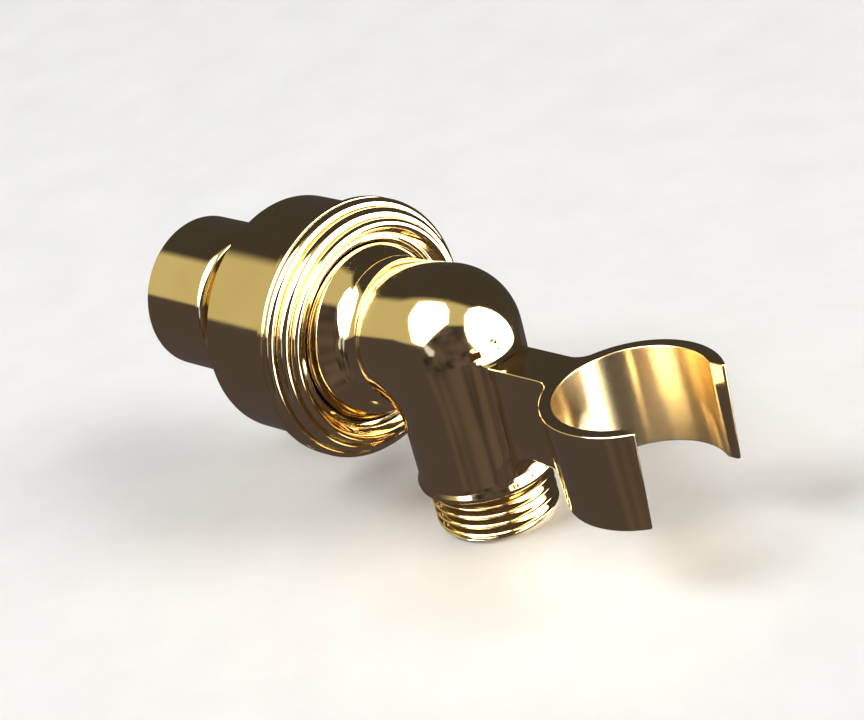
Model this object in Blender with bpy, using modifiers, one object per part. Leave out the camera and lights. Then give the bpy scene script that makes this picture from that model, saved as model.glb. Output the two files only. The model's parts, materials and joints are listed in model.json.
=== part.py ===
"""A wall-mounted hand-shower holder in cast brass: a water inlet, a ball joint held by a beaded ring, an
elbow with a threaded hose outlet, and an open cradle for the handset. Metres, +Z up, +X away from the wall."""

import math

import bmesh
import bpy
from mathutils import Euler, Matrix, Vector

MM = 0.001
GAP = 0.3  # clearance between neighbouring pieces; all sizes below are in millimetres until they are built

# Where things are. X and Z are measured from the outlet's axis and from the elbow's lower rim.
BALL_X, BALL_Z = -24.4, 23.3
STEM_RISE_DEG = 6.0
CRADLE_X, CRADLE_TOP, CRADLE_HEIGHT = 39.3, 24.3, 17.5
ELBOW_RIM_Z = 0.7
OUTLET_END_Z = -8.15

# Rear to front along the inlet's axis, measured from the ball's centre.
COLLAR_REAR, COLLAR_SHOULDER, COLLAR_FRONT = -39.8, -24.8, -15.1
COLLAR_R, COLLAR_NECK_R = 13.4, 11.4
SOCKET_REAR, SOCKET_FRONT, SOCKET_R = -14.8, -0.05, 20.4
RING_REAR, RING_LIP, RING_R = 0.25, 4.95, 22.3
SOCKET_WALL, SPRING_LEDGE = -12.5, -10.6
BALL_R, STEM_R, WATER_R = 16.0, 8.3, 5.5
BALL_FACE_R, BALL_FACE_Z = 14.3, 7.15  # the corner between the ball and its cone-shaped front face
BALL_FRONT, BALL_NECK_R, BALL_FILLET = 10.9, 10.95, 3.75

# The elbow and the parts in its foot.
ARM_R, ARM_START, ARM_FLARE_R = 12.1, 11.3, 12.8
KNEE_X = -0.6
FOOT_R, FOOT_RIM_R, FOOT_BORE_R = 11.3, 11.95, 9.6
THREAD_R, THREAD_ROOT_R, THREAD_PITCH, THREAD_RIDGES = 10.48, 9.32, 1.814, 4
NIPPLE_TOP, NIPPLE_BORE_R = 8.0, 7.6

# The cradle and its web.
CRADLE_R, CRADLE_FOOT_R = 14.9, 14.1
CRADLE_BORE_R, CRADLE_BORE_FOOT_R = 12.7, 12.35
SLOT_HALF, WEB_HALF, WEB_FILLET = 10.5, 4.1, 3.5
WEB_FOOT_X, WEB_FOOT_Z, WEB_PEAK_X, WEB_PEAK_Z = 11.4, 3.4, 16.9, 8.0

STEPS = 40
SMALL_STEPS = 24

FRONT_X = CRADLE_X + math.sqrt(CRADLE_R**2 - SLOT_HALF**2)
CENTRE_X = (BALL_X + COLLAR_REAR + FRONT_X) / 2
CENTRE_Z = (BALL_Z + RING_R + OUTLET_END_Z) / 2
RISE = math.radians(STEM_RISE_DEG)
ALONG_INLET = Euler((0, math.pi / 2, 0))
ALONG_STEM = Euler((0, math.pi / 2 - RISE, 0))
UPRIGHT = Euler((0, 0, 0))
BALL = Vector((BALL_X, 0, BALL_Z))
OUTLET = Vector((0, 0, 0))
KNEE_REACH = (KNEE_X - BALL_X) / math.cos(RISE)
KNEE_Z = BALL_Z + KNEE_REACH * math.sin(RISE)


def clear_scene():
    for obj in list(bpy.data.objects):
        bpy.data.objects.remove(obj, do_unlink=True)


def new_collection(name):
    made = bpy.data.collections.new(name)
    bpy.context.scene.collection.children.link(made)
    return made


def material(name, colour, metallic, roughness):
    made = bpy.data.materials.new(name)
    made.use_nodes = True
    shader = made.node_tree.nodes["Principled BSDF"]
    shader.inputs["Base Color"].default_value = (*colour, 1)
    shader.inputs["Metallic"].default_value = metallic
    shader.inputs["Roughness"].default_value = roughness
    return made


def empty(name, at, parent=None):
    made = bpy.data.objects.new(name, None)
    made.empty_display_size = 0.005
    PARTS.objects.link(made)
    made.parent = parent
    origin = parent["design_at"] if parent else (CENTRE_X, 0, CENTRE_Z)
    made["design_at"] = list(at)
    made.location = (Vector(at) - Vector(origin)) * MM
    return made


def finish(obj, look, smooth_deg=35):
    """Gives a part its own material, named after it, and smooth shading with the real edges kept sharp."""
    kind, colour, metallic, roughness = look
    if obj.type == "MESH":
        obj.data.materials.clear()
    obj.data.materials.append(material(obj.name + "_" + kind, colour, metallic, roughness))
    if obj.type == "MESH":
        obj.data.shade_smooth()
        obj.data.set_sharp_from_angle(angle=math.radians(smooth_deg))
    return obj


def place(obj, pivot, at, turn):
    obj.parent = pivot
    obj.location = (Vector(at) - Vector(pivot["design_at"])) * MM
    obj.rotation_euler = turn
    return obj


def object_of(name, data, cutter):
    obj = bpy.data.objects.new(name, data)
    (CUTTERS if cutter else PARTS).objects.link(obj)
    if cutter:
        obj.hide_render = True
        obj.display_type = "WIRE"
    return obj


def turned(name, profile, steps=STEPS, ring=True, cutter=False):
    """A turned shape about Z. The profile holds (radius, height) pairs down the outer side, and up the bore
    when ring is set; otherwise it starts and ends on the axis."""
    mesh = bpy.data.meshes.new(name)
    points = [(r * MM, 0, z * MM) for r, z in profile]
    edges = [(i, i + 1) for i in range(len(points) - 1)]
    if ring:
        edges.append((len(points) - 1, 0))
    mesh.from_pydata(points, edges, [])
    obj = object_of(name, mesh, cutter)
    screw = obj.modifiers.new("turn", "SCREW")
    screw.axis = "Z"
    screw.steps = steps
    screw.render_steps = steps
    screw.use_merge_vertices = True
    screw.merge_threshold = 0.00001
    screw.use_smooth_shade = True
    return obj


def box(name, size, cutter=False):
    mesh = bpy.data.meshes.new(name)
    shape = bmesh.new()
    bmesh.ops.create_cube(shape, size=1, matrix=Matrix.Diagonal((*[s * MM for s in size], 1)))
    shape.to_mesh(mesh)
    shape.free()
    return object_of(name, mesh, cutter)


def outline(name, loops, height, cutter=False):
    """A flat outline, with any further loops as holes in it, given a height centred on its own plane."""
    curve = bpy.data.curves.new(name, "CURVE")
    curve.dimensions = "2D"
    curve.fill_mode = "BOTH"
    curve.extrude = height * MM / 2
    for loop in loops:
        spline = curve.splines.new("POLY")
        spline.points.add(len(loop) - 1)
        for point, (x, y) in zip(spline.points, loop):
            point.co = (x * MM, y * MM, 0, 1)
        spline.use_cyclic_u = True
    flat = bpy.data.objects.new(name + "_outline", curve)
    PARTS.objects.link(flat)
    bpy.context.view_layer.update()
    mesh = bpy.data.meshes.new_from_object(flat.evaluated_get(bpy.context.evaluated_depsgraph_get()))
    bpy.data.objects.remove(flat, do_unlink=True)
    shape = bmesh.new()
    shape.from_mesh(mesh)
    bmesh.ops.remove_doubles(shape, verts=shape.verts, dist=1e-7)
    shape.to_mesh(mesh)
    shape.free()
    return object_of(name, mesh, cutter)


def arc(cx, cy, radius, start_deg, end_deg, count):
    step = (end_deg - start_deg) / (count - 1)
    return [
        (cx + radius * math.cos(math.radians(start_deg + i * step)),
         cy + radius * math.sin(math.radians(start_deg + i * step)))
        for i in range(count)
    ]


def boolean(obj, other, operation):
    step = obj.modifiers.new(operation.lower(), "BOOLEAN")
    step.operation = operation
    step.solver = "EXACT"
    step.object = other


def torus_profile(major, minor, height, count=12):
    """A round section, listed down its outer side."""
    return arc(major, height, minor, 90, -270 + 360 / count, count)


def bead(r0, z0, r1, z1, bulge, count=7):
    """A half-round bead between two points of a profile; both ends are left out."""
    mid_r, mid_z = (r0 + r1) / 2, (z0 + z1) / 2
    half = math.hypot(r1 - r0, z1 - z0) / 2
    along = ((r1 - r0) / (2 * half), (z1 - z0) / (2 * half))
    out = (-along[1], along[0])
    if out[0] + out[1] < 0:
        out = (along[1], -along[0])
    made = []
    for i in range(1, count):
        turn = math.pi * i / count
        reach = -math.cos(turn) * half
        lift = math.sin(turn) * bulge
        made.append((mid_r + along[0] * reach + out[0] * lift, mid_z + along[1] * reach + out[1] * lift))
    return made


BRASS = ("brass", (0.80, 0.60, 0.28), 1.0, 0.12)
STEEL = ("steel", (0.62, 0.62, 0.60), 1.0, 0.25)
RUBBER = ("rubber", (0.03, 0.03, 0.03), 0.0, 0.6)
WHITE = ("acetal", (0.85, 0.85, 0.82), 0.0, 0.35)
BLUE = ("plastic", (0.10, 0.22, 0.55), 0.0, 0.4)


def inlet_collar(pivot):
    """The rear cylinder: a 1/2 inch female inlet at its back, and in front a round shoulder, a neck and a
    screwed spigot."""
    round_off = COLLAR_R - COLLAR_NECK_R
    profile = [(10.1, SOCKET_WALL), (10.1, COLLAR_FRONT), (COLLAR_NECK_R, COLLAR_FRONT)]
    profile += arc(COLLAR_NECK_R, COLLAR_SHOULDER - round_off, round_off, 90, 0, 5)
    profile += [(COLLAR_R, COLLAR_REAR + 0.5), (COLLAR_R - 0.5, COLLAR_REAR), (10.9, COLLAR_REAR)]
    for ridge in range(4):
        z = COLLAR_REAR + 2.2 + ridge * 1.5 * THREAD_PITCH
        profile += [(10.4, z - 0.8), (9.5, z), (10.4, z + 0.8)]
    profile += [(10.4, COLLAR_REAR + 12.5), (8.2, COLLAR_REAR + 12.5), (8.2, COLLAR_REAR + 18.0)]
    profile += [(6.5, COLLAR_REAR + 18.0), (6.5, SOCKET_WALL)]
    obj = turned("inlet_collar", profile)
    return finish(place(obj, pivot, BALL, ALONG_INLET), BRASS)


def inlet_washer(pivot):
    z = COLLAR_REAR + 12.5 - GAP
    profile = [(9.2, z), (9.2, z - 1.8), (6.4, z - 1.8), (6.4, z)]
    obj = turned("inlet_washer", profile, SMALL_STEPS)
    return finish(place(obj, pivot, BALL, ALONG_INLET), RUBBER)


def strainer_screen(pivot):
    """A perforated disc that lies behind the washer and keeps grit out of the valve."""
    loops = [arc(0, 0, 7.9, 0, 360 - 10, 36)]
    for ring, count in ((0, 1), (2.3, 6), (4.6, 12)):
        for i in range(count):
            turn = 2 * math.pi * i / count
            loops.append(arc(ring * math.cos(turn), ring * math.sin(turn), 0.8, 0, 324, 10))
    obj = outline("strainer_screen", loops, 0.5)
    at = BALL + Vector((COLLAR_REAR + 12.5 + 0.8, 0, 0))
    return finish(place(obj, pivot, at, ALONG_INLET), STEEL)


def flow_regulator(pivot):
    """A rim and a hub on three arms, which hold the ring that narrows as the pressure rises."""
    outer = arc(0, 0, 7.8, 0, 350, 36)
    loops = [outer]
    for i in range(3):
        middle = 120 * i
        rim_side = arc(0, 0, 6.0, middle + 12, middle + 108, 9)
        hub_side = arc(0, 0, 3.0, middle + 96, middle + 24, 7)
        loops.append(rim_side + hub_side)
    obj = outline("flow_regulator", loops, 2.6)
    at = BALL + Vector((COLLAR_REAR + 15.4, 0, 0))
    return finish(place(obj, pivot, at, ALONG_INLET), WHITE)


def regulator_ring(pivot):
    obj = turned("regulator_ring", torus_profile(4.9, 0.8, COLLAR_REAR + 13.1 + 4.6, 8), SMALL_STEPS)
    return finish(place(obj, pivot, BALL, ALONG_INLET), RUBBER)


def collar_seal(pivot):
    """Sits at the root of the spigot, in the countersink of the socket's rear wall."""
    obj = turned("collar_seal", torus_profile(10.85, 0.4, SOCKET_REAR + 0.35, 8), SMALL_STEPS)
    return finish(place(obj, pivot, BALL, ALONG_INLET), RUBBER)


def socket_body(pivot):
    """The large plain cylinder: an open cup with an inner shoulder for the spring and the rear seat."""
    hole = 10.1 + GAP
    profile = [(SOCKET_R, SOCKET_FRONT), (SOCKET_R, SOCKET_REAR + 0.2), (SOCKET_R - 0.2, SOCKET_REAR)]
    profile += [(hole + 1.7, SOCKET_REAR), (hole, SOCKET_REAR + 1.7), (hole, SOCKET_WALL)]
    profile += [(15.4, SOCKET_WALL), (15.4, SPRING_LEDGE), (18.5, SPRING_LEDGE), (18.5, SOCKET_FRONT)]
    obj = turned("socket_body", profile)
    return finish(place(obj, pivot, BALL, ALONG_INLET), BRASS)


def seat_spring(pivot):
    """A wave spring: a closed wire ring that rises and falls three times a turn behind the rear seat."""
    radius, wire, wave, sections = 16.9, 0.3, 0.25, 48
    middle = SPRING_LEDGE + GAP + wire + wave
    curve = bpy.data.curves.new("seat_spring", "CURVE")
    curve.dimensions = "3D"
    curve.bevel_depth = wire * MM
    curve.bevel_resolution = 2
    spline = curve.splines.new("POLY")
    spline.points.add(sections - 1)
    for i, point in enumerate(spline.points):
        turn = 2 * math.pi * i / sections
        lift = middle + wave * math.sin(3 * turn)
        point.co = (radius * math.cos(turn) * MM, radius * math.sin(turn) * MM, lift * MM, 1)
    spline.use_cyclic_u = True
    obj = object_of("seat_spring", curve, False)
    place(obj, pivot, BALL, ALONG_INLET)
    return finish(obj, STEEL)


def seat_profile(start, end, outer):
    """A seat ring whose inner face follows the ball, with a clearance, between two heights."""
    count = 5
    inner = [
        (math.sqrt((BALL_R + GAP) ** 2 - z * z), z)
        for z in [start + (end - start) * i / (count - 1) for i in range(count)]
    ]
    return [(outer, end), (outer, start)] + inner


def rear_seat(pivot):
    start, end = SPRING_LEDGE + 2 * GAP + 1.1, -4.0
    obj = turned("rear_seat", seat_profile(start, end, 18.2))
    return finish(place(obj, pivot, BALL, ALONG_INLET), WHITE)


def front_seat(pivot):
    start, end = RING_REAR + 0.4, RING_LIP - 1.3
    obj = turned("front_seat", seat_profile(start, end, 17.7))
    return finish(place(obj, pivot, BALL, ALONG_INLET), WHITE)


def retaining_ring(pivot):
    """The flange: a plain rim, three half-round beads that step inwards and forwards, and an inner lip. A
    sleeve behind it screws into the socket."""
    rim_front = 1.45
    grooves = [(RING_R - 0.35, rim_front), (20.65, 3.3), (19.1, 5.2), (17.55, 6.1)]
    profile = [(15.65, RING_LIP), (16.2, RING_LIP + 0.25), (16.7, 5.0)]
    for (r0, z0), (r1, z1) in reversed(list(zip(grooves, grooves[1:]))):
        profile.append((r1, z1))
        profile += bead(r1, z1, r0, z0, 0.95, 5)
    profile += [(RING_R, rim_front - 0.1), (RING_R, RING_REAR), (18.2, RING_REAR), (18.2, -3.4)]
    profile += [(16.7, -3.4), (16.7, RING_REAR), (18.0, RING_REAR + 0.1), (18.0, RING_LIP - 1.0)]
    profile += [(15.8, RING_LIP - 1.0)]
    obj = turned("retaining_ring", profile)
    return finish(place(obj, pivot, BALL, ALONG_INLET), BRASS, 30)


def swivel_ball(pivot):
    """A hollow ball with an open back. Its cone-shaped front face sweeps into the neck, and the stem carries
    the elbow."""
    rear = -9.5
    start = math.degrees(math.asin((BALL_FACE_R + 0.45) / BALL_R))
    end = math.degrees(math.acos(rear / BALL_R))
    profile = [(STEM_R - 0.4, 20.6), (STEM_R, 20.2), (STEM_R, 19.5), (7.5, 19.5), (7.5, 18.4), (STEM_R, 18.4)]
    profile += [(STEM_R, 16.3), (6.9, 16.3), (6.9, 14.4), (STEM_R, 14.4), (STEM_R, BALL_FRONT)]
    profile += arc(BALL_NECK_R + BALL_FILLET, BALL_FRONT + 0.78, BALL_FILLET, 192, 232, 6)
    profile += [(BALL_FACE_R, BALL_FACE_Z)]
    for i in range(11):
        polar = math.radians(start + (end - start) * i / 10)
        profile.append((BALL_R * math.sin(polar), BALL_R * math.cos(polar)))
    profile += [(9.8, rear), (WATER_R, rear + 5.5), (WATER_R, 20.6)]
    obj = turned("swivel_ball", profile)
    return finish(place(obj, pivot, BALL, ALONG_STEM), BRASS)


def stem_seal(pivot):
    obj = turned("stem_seal", torus_profile(7.75, 0.6, 15.35, 8), SMALL_STEPS)
    return finish(place(obj, pivot, BALL, ALONG_STEM), RUBBER)


def stem_clip(pivot):
    """A split snap ring that holds the stem in the elbow and lets it turn."""
    loop = arc(0, 0, 9.3, 20, 340, 33) + arc(0, 0, 7.8, 340, 20, 29)
    obj = outline("stem_clip", [loop], 0.7)
    at = BALL + Vector((math.cos(RISE), 0, math.sin(RISE))) * 18.95
    return finish(place(obj, pivot, at, ALONG_STEM), STEEL)


def arm_profile(extra=0.0):
    """The elbow's arm: a flared lip, a plain barrel and a round end about the knee."""
    profile = [(0, KNEE_REACH + ARM_R + extra)]
    profile += arc(0, KNEE_REACH, ARM_R + extra, 90, 0, 10)[1:]
    profile += [(ARM_R + extra, ARM_START + 6), (ARM_R - 0.2 + extra, ARM_START + 3.2)]
    profile += [(ARM_R + 0.05 + extra, ARM_START + 1.6), (ARM_FLARE_R + extra, ARM_START + 0.3)]
    profile += [(ARM_FLARE_R - 0.3 + extra, ARM_START - extra), (0, ARM_START - extra)]
    return profile


def foot_profile(extra=0.0):
    """The elbow's foot: a slightly waisted barrel with a rounded rim above the thread."""
    return [
        (0, KNEE_Z + 6 + extra), (8.0, KNEE_Z + 4 + extra), (11.2 + extra, KNEE_Z - 2),
        (11.5 + extra, KNEE_Z - 4.4), (11.35 + extra, 16), (FOOT_R + extra, 10), (FOOT_R + 0.15 + extra, 4.5),
        (FOOT_RIM_R - 0.25 + extra, 1.9), (FOOT_RIM_R + extra, 1.3), (FOOT_RIM_R - 0.2 + extra, ELBOW_RIM_Z),
        (0, ELBOW_RIM_Z),
    ]


def elbow_body(pivot):
    """The arm and the foot joined at the knee, bored for the stem, for the water and for the outlet nipple."""
    obj = place(turned("elbow_body", arm_profile(), ring=False), pivot, BALL, ALONG_STEM)
    foot = turned("foot_shape", foot_profile(), ring=False, cutter=True)
    place(foot, pivot, OUTLET, UPRIGHT)
    boolean(obj, foot, "UNION")
    bore = [(0, KNEE_REACH), (6.4, KNEE_REACH - 1), (6.4, 21.2), (8.6, 21.2), (8.6, 19.75), (9.6, 19.75)]
    bore += [(9.6, 18.15), (8.6, 18.15), (8.6, ARM_START - 3), (0, ARM_START - 3)]
    stem_bore = place(turned("stem_bore", bore, ring=False, cutter=True), pivot, BALL, ALONG_STEM)
    boolean(obj, stem_bore, "DIFFERENCE")
    bore = [(0, KNEE_Z + 5.5), (5.0, KNEE_Z + 3.5), (7.0, KNEE_Z - 2), (7.0, 9.6), (FOOT_BORE_R, 9.6)]
    bore += [(FOOT_BORE_R, -3), (0, -3)]
    outlet_bore = place(turned("outlet_bore", bore, ring=False, cutter=True), pivot, OUTLET, UPRIGHT)
    boolean(obj, outlet_bore, "DIFFERENCE")
    return finish(obj, BRASS)


def cradle(pivot):
    """The open ring that takes the handset, with the web that is brazed to the elbow."""
    foot_z = CRADLE_TOP - CRADLE_HEIGHT
    profile = [(0, CRADLE_TOP), (CRADLE_R - 0.3, CRADLE_TOP), (CRADLE_R, CRADLE_TOP - 0.3)]
    profile += [(CRADLE_FOOT_R + 0.3, foot_z + 1.2), (CRADLE_FOOT_R - 0.3, foot_z), (0, foot_z)]
    at = Vector((CRADLE_X, 0, 0))
    obj = place(turned("cradle", profile, ring=False), pivot, at, UPRIGHT)

    reach = CRADLE_R + WEB_FILLET
    side = WEB_HALF + WEB_FILLET
    fillet_x = CRADLE_X - math.sqrt(reach**2 - side**2)
    meet = math.degrees(math.atan2(-side, CRADLE_X - fillet_x))
    upper = [(3.0, WEB_HALF)] + arc(fillet_x, side, WEB_FILLET, -90, meet - 4, 7)
    upper += [(CRADLE_X - CRADLE_R + 3, 6.5)]
    loop = upper + [(x, -y) for x, y in reversed(upper)]
    height = CRADLE_TOP - 3.0
    web = outline("web_shape", [loop], height, cutter=True)
    place(web, pivot, (0, 0, 3.0 + height / 2 - 0.02), UPRIGHT)
    boolean(obj, web, "UNION")

    bore = [(0, CRADLE_TOP + 4), (CRADLE_BORE_R + 0.3, CRADLE_TOP + 4), (CRADLE_BORE_R + 0.3, CRADLE_TOP)]
    bore += [(CRADLE_BORE_R, CRADLE_TOP - 0.3), (CRADLE_BORE_FOOT_R, foot_z + 0.2)]
    bore += [(CRADLE_BORE_FOOT_R + 0.2, foot_z - 4), (0, foot_z - 4)]
    handset_bore = place(turned("handset_bore", bore, ring=False, cutter=True), pivot, at, UPRIGHT)
    boolean(obj, handset_bore, "DIFFERENCE")

    slot = box("cradle_slot", (20, 2 * SLOT_HALF, 30), cutter=True)
    place(slot, pivot, (CRADLE_X + 10, 0, CRADLE_TOP - 8), UPRIGHT)
    boolean(obj, slot, "DIFFERENCE")

    under = [(6.0, 1.0), (WEB_FOOT_X, WEB_FOOT_Z)] + arc(WEB_FOOT_X + 4.6, WEB_FOOT_Z, 4.6, 170, 130, 4)
    under += [(WEB_PEAK_X, WEB_PEAK_Z), (CRADLE_X - CRADLE_R + 0.9, foot_z), (36.0, foot_z)]
    under += [(36.0, -4.0), (6.0, -4.0)]
    underside = outline("web_underside", [under], 30, cutter=True)
    place(underside, pivot, OUTLET, Euler((math.pi / 2, 0, 0)))
    boolean(obj, underside, "DIFFERENCE")

    foot_cut = place(turned("foot_cut", foot_profile(GAP), ring=False, cutter=True), pivot, OUTLET, UPRIGHT)
    boolean(obj, foot_cut, "DIFFERENCE")
    arm_cut = place(turned("arm_cut", arm_profile(GAP), ring=False, cutter=True), pivot, BALL, ALONG_STEM)
    boolean(obj, arm_cut, "DIFFERENCE")
    return finish(obj, BRASS)


def outlet_nipple(pivot):
    """The male thread for the hose, screwed up into the elbow's foot. Rings stand in for its helix."""
    profile = [(9.3, NIPPLE_TOP)]
    profile += [(9.3, 2.4), (8.6, 2.4), (8.6, ELBOW_RIM_Z - 0.3), (10.2, ELBOW_RIM_Z - 0.3), (10.2, 0.0)]
    profile += [(THREAD_ROOT_R, -0.3)]
    for ridge in range(THREAD_RIDGES):
        z = -1.43 - ridge * THREAD_PITCH
        profile += [(THREAD_R, z + 0.15), (THREAD_R, z - 0.15), (THREAD_ROOT_R, z - THREAD_PITCH / 2)]
    profile += [(THREAD_ROOT_R, OUTLET_END_Z + 0.2), (THREAD_ROOT_R - 0.3, OUTLET_END_Z)]
    profile += [(8.4, OUTLET_END_Z), (NIPPLE_BORE_R, OUTLET_END_Z + 0.5), (NIPPLE_BORE_R, NIPPLE_TOP)]
    obj = turned("outlet_nipple", profile)
    return finish(place(obj, pivot, OUTLET, UPRIGHT), BRASS)


def nipple_seal(pivot):
    obj = turned("nipple_seal", torus_profile(9.05, 0.35, 1.6, 8), SMALL_STEPS)
    return finish(place(obj, pivot, OUTLET, UPRIGHT), RUBBER)


def check_valve_housing(pivot):
    """A tube with a seat at its top and a hub on three arms at its foot, which guides the poppet's stem."""
    profile = [(7.2, 7.6), (7.2, 4.9), (6.5, 4.9), (6.5, 3.5), (7.2, 3.5), (7.2, -4.6), (5.6, -4.6)]
    profile += [(5.6, 6.0), (4.0, 7.0), (4.0, 7.6)]
    obj = place(turned("check_valve_housing", profile, SMALL_STEPS), pivot, OUTLET, UPRIGHT)
    loop = []
    for i in range(3):
        middle = 120 * i
        loop += arc(0, 0, 6.2, middle - 9, middle + 9, 3) + arc(0, 0, 2.6, middle + 30, middle + 90, 4)
    spider = outline("guide_arms", [loop, arc(0, 0, 1.5, 0, 337.5, 16)], 1.6, cutter=True)
    place(spider, pivot, (0, 0, -3.6), UPRIGHT)
    boolean(obj, spider, "UNION")
    return finish(obj, BLUE)


def check_valve_seal(pivot):
    obj = turned("check_valve_seal", torus_profile(7.0, 0.4, 4.2, 8), SMALL_STEPS)
    return finish(place(obj, pivot, OUTLET, UPRIGHT), RUBBER)


def check_valve_poppet(pivot):
    """A disc on a stem. It moves down when water flows and seals upwards when it stops."""
    profile = [(0, 6.75), (3.2, 6.45), (3.6, 5.85), (3.6, 5.25), (4.7, 5.25), (4.7, 4.55), (1.2, 3.95)]
    profile += [(1.2, -4.9), (0, -5.3)]
    obj = turned("check_valve_poppet", profile, SMALL_STEPS, ring=False)
    return finish(place(obj, pivot, OUTLET, UPRIGHT), WHITE)


def poppet_seal(pivot):
    obj = turned("poppet_seal", torus_profile(4.35, 0.4, 5.95, 8), SMALL_STEPS)
    return finish(place(obj, pivot, OUTLET, UPRIGHT), RUBBER)


def check_valve_spring(pivot):
    """A steel coil between the guide and the disc, with its ends closed."""
    coils, radius, low, high, per_turn = 5, 2.2, -2.3, 3.6, 14
    curve = bpy.data.curves.new("check_valve_spring", "CURVE")
    curve.dimensions = "3D"
    curve.bevel_depth = 0.25 * MM
    curve.bevel_resolution = 2
    curve.use_fill_caps = True
    spline = curve.splines.new("POLY")
    spline.points.add(coils * per_turn)
    for i, point in enumerate(spline.points):
        turn = 2 * math.pi * i / per_turn
        rise = low + (high - low) * i / (coils * per_turn)
        point.co = (radius * math.cos(turn) * MM, radius * math.sin(turn) * MM, rise * MM, 1)
    obj = object_of("check_valve_spring", curve, False)
    place(obj, pivot, OUTLET, UPRIGHT)
    return finish(obj, STEEL)


clear_scene()
PARTS = new_collection("hand_shower_holder")
CUTTERS = new_collection("cutters")

root = empty("wall_side", (CENTRE_X, 0, CENTRE_Z))
seat_pivot = empty("seat_pivot", BALL, root)
ball_pivot = empty("ball_pivot", BALL, seat_pivot)
elbow_pivot = empty("elbow_pivot", BALL, ball_pivot)
poppet_pivot = empty("poppet_pivot", (0, 0, 5.0), elbow_pivot)

for make in (inlet_collar, inlet_washer, strainer_screen, flow_regulator, regulator_ring, collar_seal,
             socket_body, seat_spring, retaining_ring):
    make(root)
for make in (rear_seat, front_seat):
    make(seat_pivot)
for make in (swivel_ball, stem_seal):
    make(ball_pivot)
for make in (stem_clip, elbow_body, cradle, outlet_nipple, nipple_seal, check_valve_housing, check_valve_seal,
             check_valve_spring):
    make(elbow_pivot)
for make in (check_valve_poppet, poppet_seal):
    make(poppet_pivot)
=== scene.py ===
"""The looks of a swivelling hand shower holder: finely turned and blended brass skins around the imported
frame, their procedural materials, and a small studio. Lengths are in millimetres until a mesh is built.
Heights on a turned piece are measured from the ball's centre, or from the elbow's lower rim for the
outlet."""

import json
import math

import bmesh
import bpy
import numpy as np
from mathutils import Matrix, Quaternion, Vector


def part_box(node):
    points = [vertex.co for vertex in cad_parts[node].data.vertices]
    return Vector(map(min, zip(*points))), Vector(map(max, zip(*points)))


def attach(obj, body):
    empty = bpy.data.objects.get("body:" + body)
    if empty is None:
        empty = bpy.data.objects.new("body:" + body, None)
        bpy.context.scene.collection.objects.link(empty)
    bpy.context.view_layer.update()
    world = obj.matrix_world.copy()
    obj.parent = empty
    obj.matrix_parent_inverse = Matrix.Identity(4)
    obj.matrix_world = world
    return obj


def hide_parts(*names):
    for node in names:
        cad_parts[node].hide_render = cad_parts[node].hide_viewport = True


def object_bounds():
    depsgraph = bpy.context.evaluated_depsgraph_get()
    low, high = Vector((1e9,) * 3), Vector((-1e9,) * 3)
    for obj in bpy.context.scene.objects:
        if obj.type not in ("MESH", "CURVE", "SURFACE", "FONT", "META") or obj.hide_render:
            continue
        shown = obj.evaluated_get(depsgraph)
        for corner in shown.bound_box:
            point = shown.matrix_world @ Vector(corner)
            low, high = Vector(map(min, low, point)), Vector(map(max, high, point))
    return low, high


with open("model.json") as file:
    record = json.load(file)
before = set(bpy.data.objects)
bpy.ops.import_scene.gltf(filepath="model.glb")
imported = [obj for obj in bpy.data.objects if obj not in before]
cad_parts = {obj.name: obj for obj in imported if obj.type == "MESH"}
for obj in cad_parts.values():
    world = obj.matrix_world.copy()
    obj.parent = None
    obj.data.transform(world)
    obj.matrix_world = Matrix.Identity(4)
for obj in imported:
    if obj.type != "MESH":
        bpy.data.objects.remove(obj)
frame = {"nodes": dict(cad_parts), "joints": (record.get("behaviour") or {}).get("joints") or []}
CAD_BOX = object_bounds()

MM = 0.001
STEPS = 288  # sections round a turned piece
FILLET_STEP_DEG = 10  # about the step along an arc or a rounded corner

# Places, read from the frame.
joints = {joint["name"]: joint for joint in frame["joints"]}
BALL = Vector(joints["ball_tilt"]["pos_m"]) / MM
INLET = Vector(joints["socket_turn"]["axis"]).normalized()
STEM = Vector(joints["stem_turn"]["axis"]).normalized()
UP = Vector((0, 0, 1))


def node_box(node):
    """A node's lowest and highest corner, in millimetres."""
    low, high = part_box(node)
    return low / MM, high / MM


COLLAR_BOX = node_box("inlet_collar")
SOCKET_BOX = node_box("socket_body")
RING_BOX = node_box("retaining_ring")
NIPPLE_BOX = node_box("outlet_nipple")
ELBOW_BOX = node_box("elbow_body")
CRADLE_BOX = node_box("cradle")

COLLAR_R, COLLAR_REAR = COLLAR_BOX[1].z - BALL.z, COLLAR_BOX[0].x - BALL.x
SOCKET_R, SOCKET_REAR = SOCKET_BOX[1].z - BALL.z, SOCKET_BOX[0].x - BALL.x
SOCKET_FRONT = SOCKET_BOX[1].x - BALL.x
RING_R = RING_BOX[1].z - BALL.z
OUTLET = Vector(((NIPPLE_BOX[0].x + NIPPLE_BOX[1].x) / 2, 0, 0))
RIM_Z = ELBOW_BOX[0].z
RIM_CENTRE = Vector((OUTLET.x, 0, RIM_Z))
THREAD_R = (NIPPLE_BOX[1].x - NIPPLE_BOX[0].x) / 2
THREAD_PITCH = 1.814

# The collar: a cylinder, a thinner neck that ends at the socket, and a spigot inside the socket.
COLLAR_SHOULDER, COLLAR_FRONT, SPIGOT_END = -24.8, -15.1, -12.5
NECK_R, SPIGOT_R, WATERWAY_R = 11.4, 10.1, 6.5
INLET_MOUTH_R, INLET_ROOT_R, INLET_CREST_R = 10.9, 10.45, 9.3
INLET_RELIEF_R, INLET_SEAT_R = 10.4, 8.2
INLET_RIDGES, INLET_LEAD, INLET_DEPTH, SEAT_DEPTH = 6, 0.6, 12.5, 18.0

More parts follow.
